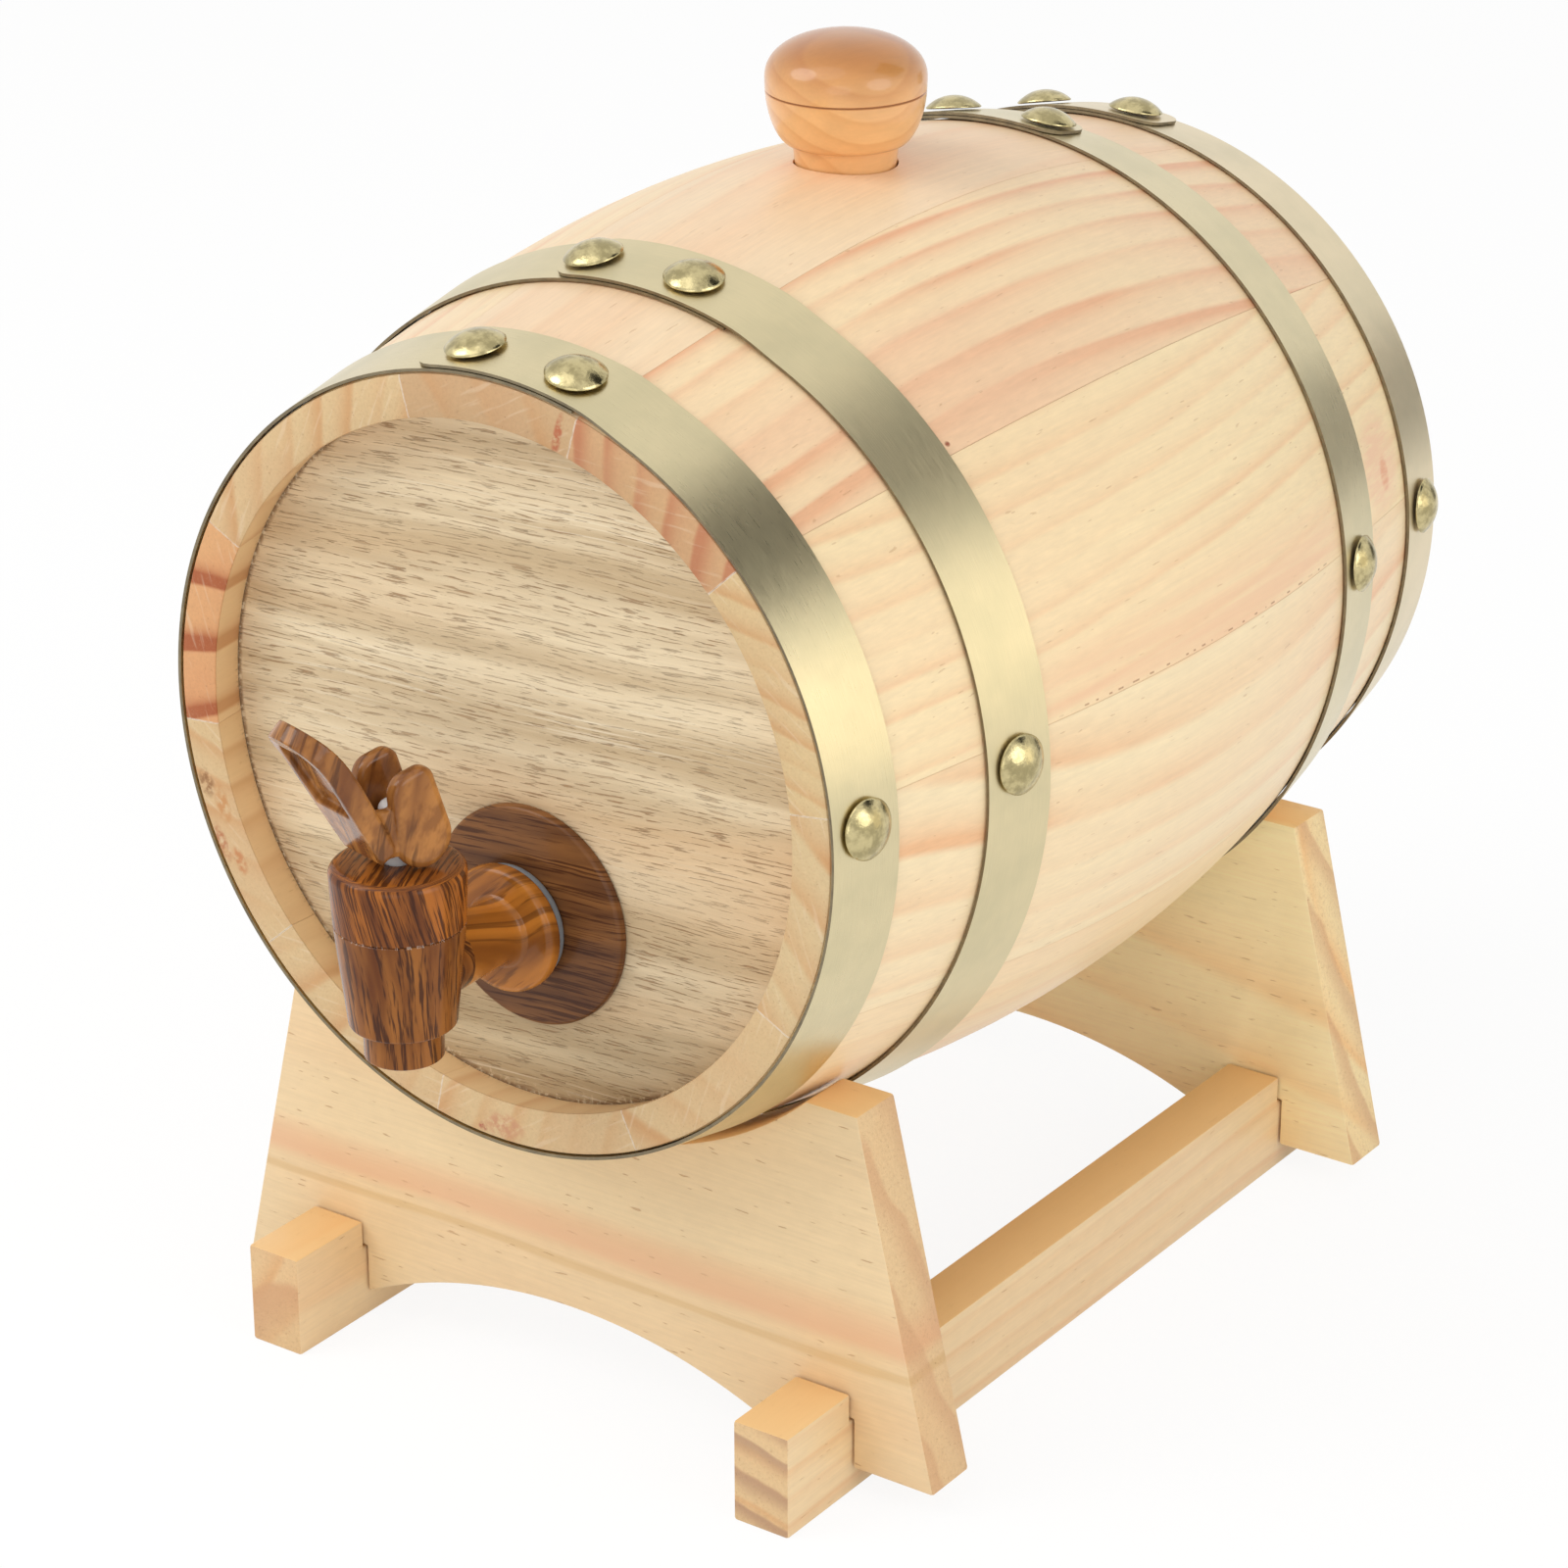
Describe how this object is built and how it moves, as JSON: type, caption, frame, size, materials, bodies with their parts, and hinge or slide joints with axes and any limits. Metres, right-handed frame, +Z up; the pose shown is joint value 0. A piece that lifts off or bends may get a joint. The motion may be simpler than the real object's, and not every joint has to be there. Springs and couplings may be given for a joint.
{
  "type": "wooden aging barrel",
  "caption": "Small wooden aging barrel with brass hoops, lying in a wooden cradle stand, with a wood-print tap on its front head and a turned bung on top.",
  "frame": {"origin": "on the floor under the middle of the whole object's box, midway between the lever's front edge and the barrel's rear end", "axes": "+Z is up. The barrel's axis and the rails lie along Y, and the tap points towards -Y. +X is to the right, seen from the tap's side."},
  "size_m": [0.1503, 0.2279, 0.2133],
  "materials": {
    "stand_wood": "planed pine with rough end grain",
    "stave_wood": "smooth varnished pale pine",
    "head_wood": "raw sawn wood, matt",
    "hoop_brass": "brushed pale brass strip",
    "nail_brass": "mottled domed brass",
    "bung_wood": "turned and lacquered, honey orange",
    "tap_plastic": "glossy with a dark wood-grain print",
    "washer_rubber": "grey, matt",
    "nut_plastic": "dark moulded plastic",
    "plunger_plastic": "white, smooth",
    "seal_rubber": "pale soft rubber",
    "lever_plastic": "glossy with an orange-brown wood-grain print"
  },
  "bodies": {
    "stand": {"front_board": "stand_wood", "rear_board": "stand_wood", "left_rail": "stand_wood", "right_rail": "stand_wood"},
    "barrel": {"stave_01": "stave_wood", "stave_02": "stave_wood", "stave_03": "stave_wood", "stave_04": "stave_wood", "stave_05": "stave_wood", "stave_06": "stave_wood", "stave_07": "stave_wood", "stave_08": "stave_wood", "stave_09": "stave_wood", "stave_10": "stave_wood", "front_head": "head_wood", "rear_head": "head_wood", "front_head_hoop": "hoop_brass", "front_quarter_hoop": "hoop_brass", "rear_quarter_hoop": "hoop_brass", "rear_head_hoop": "hoop_brass", "front_head_nail_1": "nail_brass", "front_head_nail_2": "nail_brass", "front_head_nail_3": "nail_brass", "front_head_nail_4": "nail_brass", "front_quarter_nail_1": "nail_brass", "front_quarter_nail_2": "nail_brass", "front_quarter_nail_3": "nail_brass", "front_quarter_nail_4": "nail_brass", "rear_quarter_nail_1": "nail_brass", "rear_quarter_nail_2": "nail_brass", "rear_quarter_nail_3": "nail_brass", "rear_quarter_nail_4": "nail_brass", "rear_head_nail_1": "nail_brass", "rear_head_nail_2": "nail_brass", "rear_head_nail_3": "nail_brass", "rear_head_nail_4": "nail_brass", "tap_rosette": "tap_plastic", "outer_washer": "washer_rubber", "inner_washer": "washer_rubber", "lock_nut": "nut_plastic", "tap_body": "tap_plastic", "tap_cap": "tap_plastic"},
    "bung": {"bung": "bung_wood"},
    "seal": {"plunger_seal": "seal_rubber"},
    "plunger": {"plunger": "plunger_plastic"},
    "lever": {"lever": "lever_plastic"}
  },
  "joints": [
    {"name": "barrel_lift", "type": "slide", "parent": "stand", "child": "barrel", "axis": [0, 0, 1], "range_m": [0, 0.06]},
    {"name": "bung_pull", "type": "slide", "parent": "barrel", "child": "bung", "axis": [0, 0, 1], "range_m": [0, 0.03]},
    {"name": "plunger_slide", "type": "slide", "parent": "barrel", "child": "seal", "axis": [0, 0, 1], "range_m": [0, 0.0018], "stiffness_N_per_m": 40, "springref_m": -0.002},
    {"name": "lever_swivel", "type": "hinge", "parent": "seal", "child": "plunger", "pos_m": [0, -0.09398, 0.115], "axis": [0, 0, 1], "range_deg": [-74.5, 105.5]},
    {"name": "lever_tilt", "type": "hinge", "parent": "plunger", "child": "lever", "pos_m": [0, -0.09398, 0.115], "axis": [0.9636, -0.2672, 0], "range_deg": [0, 45]}
  ],
  "couplings": [
    {"joint": "lever_tilt", "follows": "plunger_slide", "rad_per_m": 436}
  ]
}
